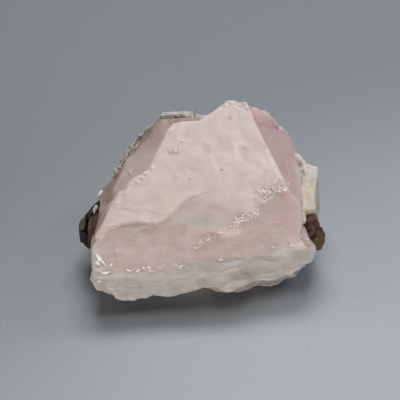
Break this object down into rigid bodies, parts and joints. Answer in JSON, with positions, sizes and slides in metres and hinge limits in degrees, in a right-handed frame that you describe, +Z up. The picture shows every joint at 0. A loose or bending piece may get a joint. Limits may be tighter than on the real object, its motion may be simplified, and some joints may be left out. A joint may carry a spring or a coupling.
{
  "type": "morganite crystal",
  "caption": "Rough pale pink beryl crystal with flat faces, a broken terraced front and a milky rim, with albite, mica and iron-stained rock still on it.",
  "frame": {"origin": "on the resting surface, under the middle of the specimen's bounding box", "axes": "+Z up, +X to the specimen's right as seen from the side that the main face tilts towards, which is -Y"},
  "size_m": [0.0498, 0.0398, 0.0261],
  "materials": {
    "morganite": "translucent, vitreous on the flat faces and waxy on the breaks",
    "albite": "creamy, dull to pearly",
    "iron_stained_rock": "dark reddish brown, dull with a few glossy facets",
    "mica": "dark brown, pearly on the plates"
  },
  "bodies": {
    "root": {"morganite_crystal": "morganite", "albite_crust_right": "albite", "albite_crust_back": "albite", "iron_stained_chip": "iron_stained_rock", "mica_book": "mica"}
  },
  "joints": []
}
